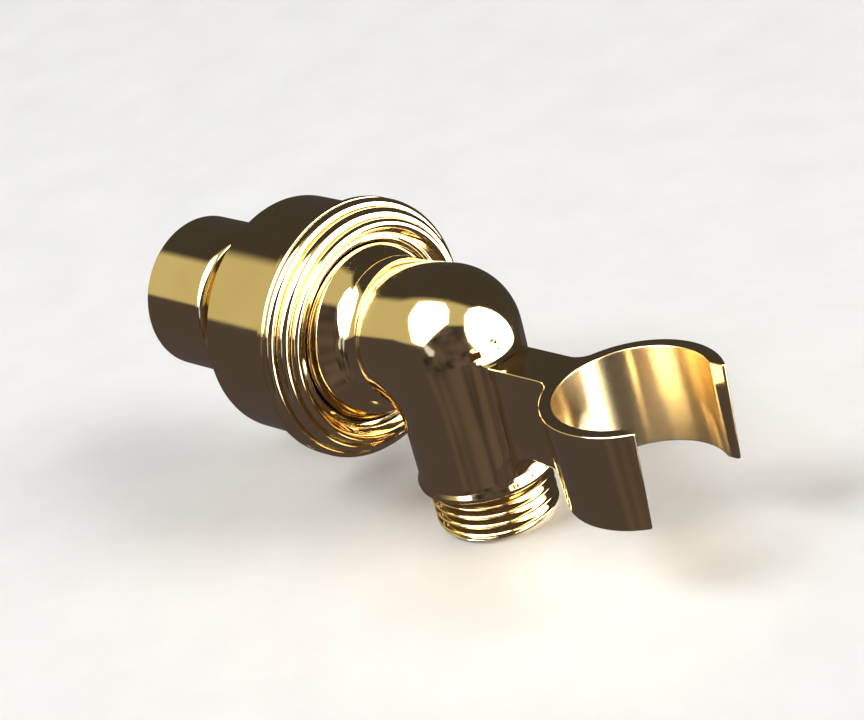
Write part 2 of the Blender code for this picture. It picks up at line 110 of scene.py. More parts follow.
# The socket: a hole for the collar's spigot, a recess for the wave spring and a wide bore for the seats.
SOCKET_HOLE_R, HOLE_CHAMFER = 10.4, 1.7
SPRING_R, SPRING_FRONT, SEAT_BORE_R = 15.4, -10.6, 18.5

# The retaining ring. The grooves beside its beads are (radius, height).
RING_REAR, RIM_FRONT, LIP = 0.27, 1.47, 4.95
GROOVES = [(RING_R - 0.35, RIM_FRONT + 0.05), (20.66, 3.34), (19.1, 5.25), (17.55, 6.1)]
BEAD_BULGE = 0.95
SLEEVE_R, SLEEVE_BORE_R, SLEEVE_REAR = 18.2, 16.7, -3.4
SEAT_RECESS_R, LIP_DEPTH = 18.0, 1.0

# The ball: a sphere, a cone-shaped face in front, a fillet into the neck, and the stem with its grooves.
BALL_R, BALL_REAR, BALL_STEPS = 16.0, -9.5, 60
FACE_R, FACE_HEIGHT, FACE_BEVEL = 14.3, 7.15, 0.45
BALL_FRONT, BALL_NECK_R, BALL_FILLET = 10.9, 10.95, 3.75
BALL_FILLET_RISE, BALL_FILLET_ARC = 0.78, (192, 232)
BALL_MOUTH_R, BALL_MOUTH_DEPTH = 9.8, 5.5
STEM_R, STEM_END, STEM_BORE_R = 8.3, 20.6, 5.5
SEAL_GROOVE, SEAL_GROOVE_R = (14.4, 16.3), 6.9
CLIP_GROOVE, CLIP_GROOVE_R = (18.4, 19.5), 7.5

# The outlet's nipple.
OUTLET_END = NIPPLE_BOX[0].z - RIM_Z
THREAD_ROOT_R, THREAD_TOP, FIRST_CREST, THREAD_ROWS = 9.32, -1.0, -2.13, 150
THREAD_FADE, THREAD_RUNOUT, MOUTH_HEIGHT = 0.9, 0.25, 0.35
MOUTH_R, MOUTH_SLOPE = 9.75, 0.72
NIPPLE_BORE_R, NIPPLE_TOP, NIPPLE_WALL_R = 7.6, 7.3, 9.3
NIPPLE_GROOVE, NIPPLE_GROOVE_R, NIPPLE_STOP_R = (-0.3, 1.7), 8.6, 10.2
THREAD_FULLNESS = 0.85  # below 1 it makes the crests broader than the valleys

# The elbow: an arm along the stem, a round knee and a foot on the outlet's axis.
ARM_R, ARM_START, ARM_EDGE = 12.1, 11.3, 14.3
FLARE_R, FLARE_NECK_R, FLARE_HOLLOW = 12.8, 11.8, 4.6
KNEE_BACK = 0.6  # the knee's centre lies this far behind the outlet's axis
KNEE = BALL + STEM * ((OUTLET.x - KNEE_BACK - BALL.x) / STEM.x)
FOOT_R, FOOT_CUT = 11.4, 2.3  # the foot's turned rim reaches this far above its lower edge
FOOT_BORE_R, SWELL_START = 9.6, 8.3  # the foot swells from this height to the knee
BLEND_R = 3.0  # the reach of the blend in the inner corner between arm and foot
ARM_SLACK = 0.05  # points this little outside the arm's radius still count as the arm
ARM_SPARE, FOOT_START = 2.5, 0.8  # how far the uncut arm passes its cut, and where the uncut foot starts

# Inside the arm: the hole for the stem, a wider room, and the waterway.
STEM_HOLE_R, STEM_ROOM_R, STEM_ROOM, ARM_BORE_R = 8.6, 9.6, (19.75, 21.2), 6.4
LIP_WALL_R, LIP_END = 10.5, 22.5

# The fillet where the cradle's web leaves the elbow. Its core is a block that hides inside the web.
ROOT_BLEND, ROOT_SINK = 2.6, 0.12
ROOT_LOW, ROOT_END = 6.9, 13.6

# The cradle.
CRADLE_R = CRADLE_BOX[1].y
SLOT_HALF = 10.5
CRADLE_X = CRADLE_BOX[1].x - math.sqrt(CRADLE_R**2 - SLOT_HALF**2)
CRADLE_TOP = CRADLE_BOX[1].z
CRADLE_HEIGHT = 17.5
CRADLE_FOOT = CRADLE_TOP - CRADLE_HEIGHT
CRADLE_FOOT_R, BORE_R, BORE_FOOT_R = 14.1, 12.7, 12.35
TIP_ROUND, EDGE_ROUND = 0.36, 0.28
WEB_HALF, WEB_FILLET, ROOT_FILLET, ROOT_DEPTH = 4.1, 3.5, 1.0, 7.0
WEB_PEAK = (16.9, 7.3)  # the highest point under the web, from the outlet's axis and the elbow's rim
WEB_TOE = (11.4, 2.7)  # where the web's underside ends in the elbow
RING_OVERLAP = 0.6  # the web's underside starts this far inside the ring
RING_EDGE_X = -CRADLE_FOOT_R + RING_OVERLAP
CORNER_POINTS, TIP_POINTS = 8, 5  # along each corner of a tip, and between the two corners


# ---------------------------------------------------------------- profiles

def arc_rows(r, h, radius, start_deg, end_deg, hollow=False):
    """Rows of (radius, height, normal) along an arc of a profile. A hollow arc faces its own centre."""
    count = max(2, round(abs(end_deg - start_deg) / FILLET_STEP_DEG) + 1)
    side = -1 if hollow else 1
    rows = []
    for i in range(count):
        turn = math.radians(start_deg + (end_deg - start_deg) * i / (count - 1))
        cos, sin = math.cos(turn), math.sin(turn)
        rows.append((r + radius * cos, h + radius * sin, side * cos, side * sin))
    return rows


def corner_rows(before, corner, after, radius):
    """Rows that round a corner of a profile, or two rows in one place where it stays sharp."""
    here = np.array(corner, float)
    into = here - np.array(before, float)
    into /= np.linalg.norm(into)
    away = np.array(after, float) - here
    away /= np.linalg.norm(away)
    normal_in = np.array((-into[1], into[0]))
    normal_out = np.array((-away[1], away[0]))
    cross = into[0] * away[1] - into[1] * away[0]
    turn = math.atan2(cross, float(into @ away))
    if radius == 0 or abs(turn) < 1e-6:
        return [(*here, *normal_in), (*here, *normal_out)]
    start = here - into * radius * math.tan(abs(turn) / 2)
    side = 1 if cross < 0 else -1
    centre = start - normal_in * radius * side
    count = max(3, math.ceil(math.degrees(abs(turn)) / FILLET_STEP_DEG) + 1)
    rows = []
    for i in range(count):
        part = turn * i / (count - 1)
        cos, sin = math.cos(part), math.sin(part)
        x, y = normal_in
        normal = np.array((x * cos - y * sin, x * sin + y * cos))
        rows.append((*(centre + normal * radius * side), *normal))
    return rows


def profile(items, closed=True):
    """Joins corners, given as (r, h) or (r, h, rounding), and lists of arc rows into one list of rows. The
    outer side runs down, so that normals point out."""
    rows = []
    last = len(items) - 1
    for i, item in enumerate(items):
        if isinstance(item, list):
            rows += item
            continue
        before = items[i - 1] if i or closed else item
        after = items[(i + 1) % len(items)] if i < last or closed else item
        before = before[-1][:2] if isinstance(before, list) else before[:2]
        after = after[0][:2] if isinstance(after, list) else after[:2]
        if not closed and i in (0, last):
            start, end = (item[:2], after) if i == 0 else (before, item[:2])
            way = np.array(end, float) - np.array(start, float)
            way /= np.linalg.norm(way)
            rows.append((*item[:2], -way[1], way[0]))
            continue
        rows += corner_rows(before, item[:2], after, item[2] if len(item) > 2 else 0)
    return rows


# ---------------------------------------------------------------- meshes

def new_piece(name, points, faces, normals, at, axis, body, look, *nodes):
    """An object whose local Z is the given axis, with its own vertex normals, riding on a body."""
    mesh = bpy.data.meshes.new(name)
    mesh.from_pydata((np.asarray(points, float) * MM).tolist(), [], faces)
    mesh.polygons.foreach_set("use_smooth", [True] * len(mesh.polygons))
    mesh.normals_split_custom_set_from_vertices([tuple(n) for n in normals])
    mesh.materials.append(look)
    obj = bpy.data.objects.new(name, mesh)
    bpy.context.scene.collection.objects.link(obj)
    obj.matrix_world = Matrix.LocRotScale(Vector(at) * MM, UP.rotation_difference(axis), None)
    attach(obj, body)
    if nodes:
        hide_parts(*nodes)


def ring_faces(rows, closed, same):
    """Quads between neighbouring rings of points, apart from rings in the same place."""
    faces = []
    for i in range(rows if closed else rows - 1):
        j = (i + 1) % rows
        if same(i, j):
            continue
        for k in range(STEPS):
            m = (k + 1) % STEPS
            faces.append((i * STEPS + k, j * STEPS + k, j * STEPS + m, i * STEPS + m))
    return faces


def lathe(rows, closed=True):
    """Points, faces and normals of a profile turned about Z."""
    turn = np.arange(STEPS) * 2 * math.pi / STEPS
    cos, sin = np.cos(turn), np.sin(turn)
    points = np.concatenate([np.stack([r * cos, r * sin, np.full(STEPS, h)], 1) for r, h, _, _ in rows])
    normals = np.concatenate([np.stack([a * cos, a * sin, np.full(STEPS, b)], 1) for _, _, a, b in rows])

    def same(i, j):
        return math.dist(rows[i][:2], rows[j][:2]) < 1e-6

    return points, ring_faces(len(rows), closed, same), normals


def turned(name, shape, at, axis, body, look, *nodes):
    """A piece turned from the corners and arcs of its closed profile."""
    points, faces, normals = lathe(profile(shape))
    new_piece(name, points, faces, normals, at, axis, body, look, *nodes)


# ---------------------------------------------------------------- materials

class NodeKit:
    """A short way to build nodes. It takes plain values or other nodes' outputs."""

    def __init__(self, tree, place):
        self.nodes, self.links = tree.nodes, tree.links
        self.place = self.nodes.new("ShaderNodeTexCoord").outputs[place]

    def feed(self, socket, value):
        if isinstance(value, bpy.types.NodeSocket):
            self.links.new(value, socket)
        else:
            socket.default_value = value

    def math(self, operation, a, b=0.0):
        node = self.nodes.new("ShaderNodeMath")
        node.operation = operation
        self.feed(node.inputs[0], a)
        self.feed(node.inputs[1], b)
        return node.outputs[0]

    def noise(self, scale, detail=3.0, roughness=0.55, stretch=(1, 1, 1)):
        mapping = self.nodes.new("ShaderNodeMapping")
        mapping.inputs["Scale"].default_value = stretch
        self.links.new(self.place, mapping.inputs["Vector"])
        node = self.nodes.new("ShaderNodeTexNoise")
        self.links.new(mapping.outputs[0], node.inputs["Vector"])
        node.inputs["Scale"].default_value = scale
        node.inputs["Detail"].default_value = detail
        node.inputs["Roughness"].default_value = roughness
        return node.outputs[0]


class Look(NodeKit):
    """A material around a Principled BSDF."""

    def __init__(self, name):
        self.material = bpy.data.materials.new(name)
        self.material.use_nodes = True
        super().__init__(self.material.node_tree, "Object")
        self.shader = self.nodes["Principled BSDF"]

    def set(self, **values):
        for name, value in values.items():
            self.feed(self.shader.inputs[name.replace("_", " ")], value)

    def span(self, value, low, high, start=0.0, end=1.0):
        node = self.nodes.new("ShaderNodeMapRange")
        self.feed(node.inputs["Value"], value)
        node.inputs["From Min"].default_value = start
        node.inputs["From Max"].default_value = end
        node.inputs["To Min"].default_value = low
        node.inputs["To Max"].default_value = high
        return node.outputs[0]

    def colours(self, value, *stops):
        node = self.nodes.new("ShaderNodeValToRGB")
        ramp = node.color_ramp
        while len(ramp.elements) < len(stops):
            ramp.elements.new(0.5)
        for element, (position, colour) in zip(ramp.elements, stops):
            element.position = position
            element.color = (*colour, 1)
        self.feed(node.inputs[0], value)
        return node.outputs[0]

    def axis_value(self, axis):
        node = self.nodes.new("ShaderNodeSeparateXYZ")
        self.links.new(self.place, node.inputs[0])
        return node.outputs[axis]

    def radius(self):
        x, y = self.axis_value("X"), self.axis_value("Y")
        square = self.math("ADD", self.math("MULTIPLY", x, x), self.math("MULTIPLY", y, y))
        return self.math("SQRT", square)

    def along(self, x=0.0, y=0.0, z=0.0):
        node = self.nodes.new("ShaderNodeCombineXYZ")
        for socket, value in zip(node.inputs, (x, y, z)):
            self.feed(socket, value)
        return node.outputs[0]

    def rings(self, scale, detail=2.0):
        """Fine tool marks round the piece's own Z axis: noise over its radius and height only."""
        node = self.nodes.new("ShaderNodeTexNoise")
        self.links.new(self.along(self.radius(), 0.0, self.axis_value("Z")), node.inputs["Vector"])
        node.inputs["Scale"].default_value = scale
        node.inputs["Detail"].default_value = detail
        return node.outputs[0]

    def bump(self, *layers):
        """Stacks (height, strength, distance in millimetres) layers."""
        normal = None
        for height, strength, distance in layers:
            node = self.nodes.new("ShaderNodeBump")
            node.inputs["Strength"].default_value = strength
            node.inputs["Distance"].default_value = distance * MM
            self.links.new(height, node.inputs["Height"])
            if normal:
                self.links.new(normal, node.inputs["Normal"])
            normal = node.outputs[0]
        self.links.new(normal, self.shader.inputs["Normal"])


def brass(name, ripple, marks=0.0, bored=0.0):
    """Polished, lacquered brass: warm colour drift, smudges, a soft casting ripple and faint tool marks.
    Inside the bored radius it is rougher along the piece's axis, as a reamed hole is."""
    look = Look(name)
    drift = look.noise(90, 2)
    shades = [(0.30, (0.81, 0.63, 0.33)), (0.52, (0.84, 0.66, 0.36)), (0.72, (0.87, 0.69, 0.39))]
    colour = look.colours(drift, *shades)
    smudge = look.noise(220, 5, 0.62)
    roughness = look.span(smudge, 0.045, 0.11, 0.35, 0.75)
    look.set(Base_Color=colour, Metallic=1.0, Roughness=roughness, Coat_Weight=0.25, Coat_Roughness=0.04)
    layers = [(look.noise(110, 1), 1.0, ripple), (look.noise(2600, 3), 0.25, 0.0008)]
    if marks:
        layers.append((look.rings(9000), 1.0, marks))
    if bored:
        in_bore = look.math("LESS_THAN", look.radius(), bored * MM)
        layers.append((look.math("MULTIPLY", look.rings(3600, 3), in_bore), 1.0, 0.022))
        tangent = look.nodes.new("ShaderNodeTangent")
        tangent.direction_type = "RADIAL"
        tangent.axis = "Z"
        look.set(Tangent=tangent.outputs[0], Anisotropic=look.math("MULTIPLY", in_bore, 0.95))
        look.set(Anisotropic_Rotation=0.25)
        look.set(Roughness=look.math("MAXIMUM", roughness, look.math("MULTIPLY", in_bore, 0.25)))
    look.bump(*layers)
    return look.material


def rubber(name):
    look = Look(name)
    dust = look.noise(700, 4)
    look.set(Base_Color=look.colours(dust, (0.35, (0.012, 0.012, 0.013)), (0.75, (0.035, 0.034, 0.033))))
    look.set(Roughness=look.span(dust, 0.45, 0.7), Specular_IOR_Level=0.35)
    look.bump((look.noise(4000, 3), 0.5, 0.01))
    return look.material


def steel(name):
    look = Look(name)
    grain = look.noise(500, 4, stretch=(1, 1, 8))
    look.set(Base_Color=look.colours(grain, (0.3, (0.55, 0.55, 0.53)), (0.7, (0.68, 0.68, 0.66))))
    look.set(Metallic=1.0, Roughness=look.span(grain, 0.18, 0.34))
    look.bump((look.noise(5000, 2, stretch=(1, 1, 6)), 0.4, 0.004))
    return look.material


def plastic(name, dark, pale):
    look = Look(name)
    mottle = look.noise(300, 3)
    look.set(Base_Color=look.colours(mottle, (0.3, dark), (0.7, pale)))
    look.set(Roughness=look.span(mottle, 0.3, 0.42))
    look.set(Subsurface_Weight=0.08, Subsurface_Scale=0.002)
    look.bump((look.noise(2500, 3), 0.3, 0.006))
    return look.material


# ---------------------------------------------------------------- turned pieces

def make_collar(look):
    """The rear cylinder, with a rounded shoulder and a neck in front and a threaded inlet at the back."""
    rear = COLLAR_REAR
    shape = [(SPIGOT_R, SPIGOT_END, 0.2), (SPIGOT_R, COLLAR_FRONT, 0.2), (NECK_R, COLLAR_FRONT, 0.2)]
    shape += [(NECK_R, COLLAR_SHOULDER, 0.3), (COLLAR_R, COLLAR_SHOULDER, 1.6), (COLLAR_R, rear, 0.5)]
    shape += [(INLET_MOUTH_R, rear, 0.15)]
    for ridge in range(INLET_RIDGES):
        start = rear + INLET_LEAD + ridge * THREAD_PITCH
        shape += [(INLET_ROOT_R, start), (INLET_CREST_R, start + THREAD_PITCH / 2, 0.12)]
    inlet_foot, seat_foot = rear + INLET_DEPTH, rear + SEAT_DEPTH
    shape += [(INLET_RELIEF_R, inlet_foot - 0.3), (INLET_RELIEF_R, inlet_foot), (INLET_SEAT_R, inlet_foot)]
    shape += [(INLET_SEAT_R, seat_foot), (WATERWAY_R, seat_foot), (WATERWAY_R, SPIGOT_END)]
    turned("collar_turned", shape, BALL, INLET, "inlet", look, "inlet_collar")


def make_socket(look):
    """The larger cylinder behind the retaining ring."""
    shape = [(SOCKET_R, SOCKET_FRONT, 0.12), (SOCKET_R, SOCKET_REAR, 0.16)]
    shape += [(SOCKET_HOLE_R + HOLE_CHAMFER, SOCKET_REAR), (SOCKET_HOLE_R, SOCKET_REAR + HOLE_CHAMFER)]
    shape += [(SOCKET_HOLE_R, SPIGOT_END), (SPRING_R, SPIGOT_END), (SPRING_R, SPRING_FRONT)]
    shape += [(SEAT_BORE_R, SPRING_FRONT), (SEAT_BORE_R, SOCKET_FRONT)]
    turned("socket_turned", shape, BALL, INLET, "inlet", look, "socket_body")


def bead_rows(start, end, bulge):
    """A rounded bead between two points of a profile, on the side its normals face."""
    (r0, h0), (r1, h1) = start, end
    half = math.hypot(r1 - r0, h1 - h0) / 2
    radius = (half**2 + bulge**2) / (2 * bulge)
    out = np.array((h0 - h1, r1 - r0)) / (2 * half)
    centre = np.array(((r0 + r1) / 2, (h0 + h1) / 2)) + out * (bulge - radius)
    first = math.degrees(math.atan2(h0 - centre[1], r0 - centre[0]))
    last = math.degrees(math.atan2(h1 - centre[1], r1 - centre[0]))
    if last > first:
        last -= 360
    return arc_rows(*centre, radius, first, last)


def make_ring(look):
    """The flange: a rim, three beads that step inwards and forwards, a hollow and the lip round the ball."""
    shape = [(15.65, LIP - 0.05, 0.12), (16.15, LIP + 0.2, 0.1), (16.7, LIP + 0.05, 0.3)]
    for outer, inner in reversed(list(zip(GROOVES, GROOVES[1:]))):
        shape.append(bead_rows(inner, outer, BEAD_BULGE))
    shape += [(RING_R, RIM_FRONT, 0.12), (RING_R, RING_REAR, 0.15), (SLEEVE_R, RING_REAR)]
    shape += [(SLEEVE_R, SLEEVE_REAR), (SLEEVE_BORE_R, SLEEVE_REAR), (SLEEVE_BORE_R, RING_REAR)]
    shape += [(SEAT_RECESS_R, RING_REAR + 0.1), (SEAT_RECESS_R, LIP - LIP_DEPTH), (15.8, LIP - LIP_DEPTH)]
    turned("retaining_ring_turned", shape, BALL, INLET, "inlet", look, "retaining_ring")


def make_ball(look):
    """The ball: a sphere, a cone-shaped front face that sweeps into the neck, and the stem."""
    start = math.degrees(math.acos((FACE_R + FACE_BEVEL) / BALL_R))
    end = math.degrees(math.asin(BALL_REAR / BALL_R))
    shape = [(STEM_R - 0.4, STEM_END), (STEM_R, STEM_END - 0.4)]
    for (low, high), floor_r in ((CLIP_GROOVE, CLIP_GROOVE_R), (SEAL_GROOVE, SEAL_GROOVE_R)):
        shape += [(STEM_R, high), (floor_r, high), (floor_r, low), (STEM_R, low)]
    shape += [(STEM_R, BALL_FRONT, 0.2), (BALL_NECK_R + 0.08, BALL_FRONT)]
    centre = (BALL_NECK_R + BALL_FILLET, BALL_FRONT + BALL_FILLET_RISE)
    shape.append(arc_rows(*centre, BALL_FILLET, *BALL_FILLET_ARC, hollow=True))
    shape.append((FACE_R, FACE_HEIGHT, 0.5))
    turns = [math.radians(start + (end - start) * i / BALL_STEPS) for i in range(BALL_STEPS + 1)]
    shape.append([(BALL_R * math.cos(t), BALL_R * math.sin(t), math.cos(t), math.sin(t)) for t in turns])
    mouth_end = BALL_REAR + BALL_MOUTH_DEPTH
    shape += [(BALL_MOUTH_R, BALL_REAR), (STEM_BORE_R, mouth_end), (STEM_BORE_R, STEM_END)]
    turned("ball_turned", shape, BALL, STEM, "ball", look, "swivel_ball")


def thread_radius(height, angle):
    """The outlet thread's radius: a helix with round crests that fades at the top and at the mouth."""
    phase = (height - FIRST_CREST) / THREAD_PITCH + angle / (2 * math.pi)
    wave = 0.5 + 0.5 * np.cos(2 * math.pi * phase)
    ridge = (THREAD_R - THREAD_ROOT_R) * wave**THREAD_FULLNESS
    fade_top = np.clip((THREAD_TOP - height) / THREAD_FADE, 0, 1)
    fade_end = np.sqrt(np.clip((height - OUTLET_END - 0.1) / THREAD_FADE, 0, 1))
    radius = THREAD_ROOT_R + ridge * fade_top * (THREAD_RUNOUT + (1 - THREAD_RUNOUT) * fade_end)
    mouth = np.minimum(radius, MOUTH_R + (height - OUTLET_END) * MOUTH_SLOPE)
    return np.where(height < OUTLET_END + 1.0, mouth, radius)


def make_nipple(look):
    """The outlet's male thread over a plain bore."""
    mouth = OUTLET_END + MOUTH_HEIGHT
    heights = np.linspace(THREAD_TOP, mouth, THREAD_ROWS)
    turn = np.arange(STEPS) * 2 * math.pi / STEPS
    height, angle = np.meshgrid(heights, turn, indexing="ij")
    radius = thread_radius(height, angle)
    outer = np.stack([radius * np.cos(angle), radius * np.sin(angle), height], 2)
    across = np.roll(outer, -1, 1) - np.roll(outer, 1, 1)
    down = np.gradient(outer, axis=0)
    normal = np.cross(across, -down)
    normal /= np.linalg.norm(normal, axis=2, keepdims=True)
    groove_foot, groove_top = NIPPLE_GROOVE
    above = [(NIPPLE_WALL_R, NIPPLE_TOP), (NIPPLE_WALL_R, groove_top), (NIPPLE_GROOVE_R, groove_top)]
    above += [(NIPPLE_GROOVE_R, groove_foot), (NIPPLE_STOP_R, groove_foot, 0.1)]
    above += [(NIPPLE_STOP_R, THREAD_TOP + 0.3, 0.1), (THREAD_ROOT_R, THREAD_TOP)]
    under = [(NIPPLE_WALL_R, mouth), (9.05, OUTLET_END, 0.12), (8.3, OUTLET_END, 0.1)]
    under += [(NIPPLE_BORE_R, OUTLET_END + 0.6), (NIPPLE_BORE_R, NIPPLE_TOP)]
    above, under = profile(above, closed=False), profile(under, closed=False)
    above_points, _, above_normals = lathe(above, closed=False)
    under_points, _, under_normals = lathe(under, closed=False)
    points = np.concatenate([above_points, outer.reshape(-1, 3), under_points])
    normals = np.concatenate([above_normals, normal.reshape(-1, 3), under_normals])
    faces = ring_faces(len(above) + len(heights) + len(under), True, lambda i, j: False)
    new_piece("outlet_thread", points, faces, normals, RIM_CENTRE, UP, "elbow", look, "outlet_nipple")


# ---------------------------------------------------------------- the elbow

def smooth_step(low, high, value):
    t = np.clip((value - low) / (high - low), 0, 1)
    return t * t * (3 - 2 * t)


def foot_shape(z):
    """The foot's radius and the x of its centre at a height above the elbow's lower rim."""
    knee_height = KNEE.z - RIM_Z
    t = np.clip((z - SWELL_START) / (knee_height - SWELL_START), 0, 1) ** 1.3
    share = smooth_step(0, 1, t)
    return FOOT_R + (ARM_R - FOOT_R) * share, OUTLET.x - KNEE_BACK * share


def blended(a, b, reach):
    """Two distances joined into one, with a fillet of the given reach where they are nearly equal."""
    near = np.clip(reach - np.abs(a - b), 0, None) / reach
    return np.minimum(a, b) - near**2 * reach / 4


def elbow_field(p):
    """How far each point is outside the elbow's skin: an arm and a foot, blended in the inner corner, and the
    hidden core of the web's root, blended all round."""
    q = p - np.array(KNEE)
    stem = np.array(STEM)
    along = np.clip(q @ stem, -60, 0)
    arm = np.linalg.norm(q - along[:, None] * stem, axis=1) - ARM_R
    radius, centre = foot_shape(p[:, 2] - RIM_Z)
    rise = np.clip(q[:, 2], 0, None)
    foot = np.sqrt((p[:, 0] - centre) ** 2 + p[:, 1] ** 2 + rise**2) - radius
    inner = -(q[:, 0] + q[:, 2]) / math.sqrt(2)
    reach = np.maximum(BLEND_R * smooth_step(0, 10, inner), 1e-6)
    skin = blended(arm, foot, reach)
    x, y, z = p.T
    sides = np.maximum(np.abs(y) - WEB_HALF, z - CRADLE_TOP) + ROOT_SINK
    ends = np.maximum(OUTLET.x - x, x - OUTLET.x - ROOT_END)
    root = np.maximum(np.maximum(sides, ends), RIM_Z + ROOT_LOW - z)
    return blended(skin, root, ROOT_BLEND)


def field_slope(p, step=0.01):
    slope = np.empty_like(p)
    for axis in range(3):
        shift = np.zeros(3)
        shift[axis] = step
        slope[:, axis] = (elbow_field(p + shift) - elbow_field(p - shift)) / (2 * step)
    return slope


def capsule_mesh():
    """Two overlapping cylinders and a ball, as a closed start for the voxel remesh. The cylinders reach a
    little past the places where the skin is cut."""
    shape = bmesh.new()
    arm_length = (KNEE - BALL).length - ARM_EDGE + ARM_SPARE
    turn = STEM.to_track_quat("Z", "Y").to_matrix().to_4x4()
    arm_place = Matrix.Translation(KNEE - STEM * arm_length / 2) @ turn
    foot_length = KNEE.z - RIM_Z - FOOT_START
    foot_place = Matrix.Translation(Vector((OUTLET.x - KNEE_BACK / 2, 0, KNEE.z - foot_length / 2)))
    for low_r, length, place in ((ARM_R, arm_length, arm_place), (FOOT_R, foot_length, foot_place)):
        bmesh.ops.create_cone(shape, cap_ends=True, segments=64, radius1=low_r, radius2=ARM_R, depth=length,
                              matrix=place)
    knee_place = Matrix.Translation(KNEE)
    bmesh.ops.create_uvsphere(shape, u_segments=64, v_segments=48, radius=ARM_R, matrix=knee_place)
    mesh = bpy.data.meshes.new("elbow_start")
    shape.to_mesh(mesh)
    shape.free()
    return mesh


def remeshed(mesh, voxel_size):
    """The mesh with even quads, in place of the one given."""
    holder = bpy.data.objects.new("elbow_start", mesh)
    bpy.context.scene.collection.objects.link(holder)
    remesh = holder.modifiers.new("voxels", "REMESH")
    remesh.mode = "VOXEL"
    remesh.voxel_size = voxel_size
    bpy.context.view_layer.update()
    result = bpy.data.meshes.new_from_object(holder.evaluated_get(bpy.context.evaluated_depsgraph_get()))
    bpy.data.objects.remove(holder, do_unlink=True)
    return result


def settle(mesh):
    """Moves the mesh's points onto the elbow's skin."""
    p = np.empty(len(mesh.vertices) * 3)
    mesh.vertices.foreach_get("co", p)
    p = p.reshape(-1, 3)
    for _ in range(6):
        slope = field_slope(p)
        p -= (elbow_field(p) / np.maximum((slope**2).sum(1), 0.2))[:, None] * slope
    mesh.vertices.foreach_set("co", p.ravel())


def from_stem(p):
    """How far a point is from the stem's axis."""
    offset = p - KNEE
    return (offset - STEM * offset.dot(STEM)).length


def cut_ends(mesh):
    """Cuts the arm off in a plane, but not the foot below it, which reaches past that plane, and cuts the
    foot off above its rim."""
    shape = bmesh.new()
    shape.from_mesh(mesh)
    tube = [face for face in shape.faces if all(from_stem(v.co) < ARM_R + ARM_SLACK for v in face.verts)]
    arm = {part for face in tube for part in (face, *face.edges, *face.verts)}
    arm = [part for part in shape.verts[:] + shape.edges[:] + shape.faces[:] if part in arm]
    bmesh.ops.bisect_plane(shape, geom=arm, plane_co=BALL + STEM * ARM_EDGE, plane_no=-STEM, clear_outer=True)
    everything = shape.verts[:] + shape.edges[:] + shape.faces[:]
    foot_cut = Vector((0, 0, RIM_Z + FOOT_CUT))
    bmesh.ops.bisect_plane(shape, geom=everything, plane_co=foot_cut, plane_no=-UP, clear_outer=True)
    shape.to_mesh(mesh)
    shape.free()


def make_elbow(look):
    """The arm, knee and foot as one blended skin."""
    mesh = remeshed(capsule_mesh(), 0.4)
    settle(mesh)
    cut_ends(mesh)
    points = np.array([v.co for v in mesh.vertices]).reshape(-1, 3)
    faces = [tuple(face.vertices) for face in mesh.polygons]
    bpy.data.meshes.remove(mesh)
    normals = field_slope(points)
    normals /= np.linalg.norm(normals, axis=1, keepdims=True)
    points -= np.array(RIM_CENTRE)
    new_piece("elbow_skin", points, faces, normals, RIM_CENTRE, UP, "elbow", look, "elbow_body")


def make_elbow_lip(look):
    """The flare that faces the ball, the step where the arm starts, and the bore for the stem."""
    room_start, room_end = STEM_ROOM
    shape = [(STEM_HOLE_R, ARM_START, 0.15), (STEM_HOLE_R, room_start), (STEM_ROOM_R, room_start)]
    shape += [(STEM_ROOM_R, room_end), (ARM_BORE_R, room_end), (ARM_BORE_R, LIP_END), (LIP_WALL_R, LIP_END)]
    shape += [(LIP_WALL_R, ARM_EDGE + 0.2), (ARM_R, ARM_EDGE + 0.2), (ARM_R, ARM_EDGE, 0.13)]
    shape += [(FLARE_NECK_R, ARM_EDGE - 0.02, 0.08)]
    sweep = math.degrees(math.asin((ARM_EDGE - ARM_START - 0.5) / FLARE_HOLLOW))
    centre = (FLARE_NECK_R + FLARE_HOLLOW, ARM_EDGE - 0.15)
    shape += [arc_rows(*centre, FLARE_HOLLOW, 180, 180 + sweep, hollow=True), (FLARE_R, ARM_START, 0.2)]
    turned("elbow_lip", shape, BALL, STEM, "elbow", look)


def make_elbow_rim(look):
    """The turned rim at the elbow's foot, from the skin's cut edge down and into the bore."""
    inner = FOOT_R - 0.4
    shape = [(FOOT_BORE_R, FOOT_CUT + 6), (inner, FOOT_CUT + 6), (inner, FOOT_CUT + 0.001)]
    shape += [(FOOT_R, FOOT_CUT), (FOOT_R + 0.1, 1.6, 1.0), (FOOT_R + 0.52, 0.75, 0.3)]
    shape += [(FOOT_R + 0.4, 0.0, 0.25), (FOOT_BORE_R, 0.0)]
    turned("elbow_rim", shape, RIM_CENTRE, UP, "elbow", look)


# ---------------------------------------------------------------- the cradle

def arc_points(cx, cy, radius, start_deg, end_deg, count, hollow=False):
    """(x, y, normal x, normal y) along an arc."""
    side = -1 if hollow else 1
    turn = np.radians(np.linspace(start_deg, end_deg, count))
    cos, sin = np.cos(turn), np.sin(turn)
    return np.stack([cx + radius * cos, cy + radius * sin, side * cos, side * sin], 1)


def straight(x0, y0, x1, y1, count, nx, ny):
    part = np.linspace(0, 1, count)[:, None]
    xy = np.array((x0, y0)) * (1 - part) + np.array((x1, y1)) * part
    return np.concatenate([xy, np.tile((nx, ny), (count, 1))], 1)


